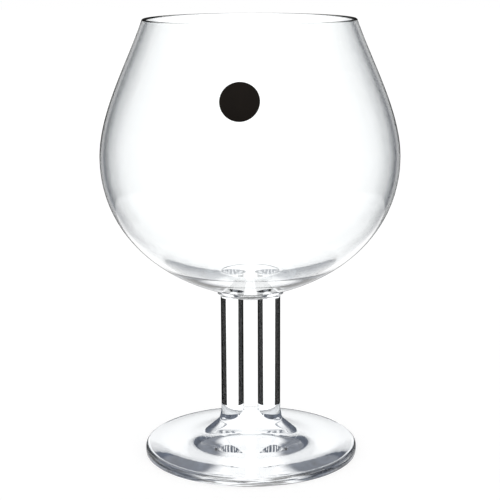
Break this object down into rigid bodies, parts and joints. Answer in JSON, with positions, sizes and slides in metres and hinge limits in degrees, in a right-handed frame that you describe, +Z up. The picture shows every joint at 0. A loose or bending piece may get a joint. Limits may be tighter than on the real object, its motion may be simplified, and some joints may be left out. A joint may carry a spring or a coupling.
{
  "type": "brandy snifter",
  "caption": "Clear glass brandy snifter: wide bowl narrowing to the rim, on a stem of two parallel glass rods that run into a flat web on a round foot, with a bare round black label.",
  "frame": {"origin": "centre of the plane that the foot rests on, under the bowl's axis", "axes": "+Z up along the bowl's axis, X along the line through the rods, -Y towards the side with the label"},
  "size_m": [0.0944, 0.0944, 0.14],
  "materials": {
    "bowl_glass": "clear blown glass, fire polished",
    "stem_glass": "clear solid glass",
    "foot_glass": "clear solid glass, faintly blue in its depth",
    "label_film": "black printed film, bare, slightly satin"
  },
  "bodies": {
    "root": {"bowl": "bowl_glass", "stem_plate": "stem_glass", "rod_left": "stem_glass", "rod_right": "stem_glass", "hub": "foot_glass", "foot": "foot_glass", "label": "label_film"}
  },
  "joints": []
}
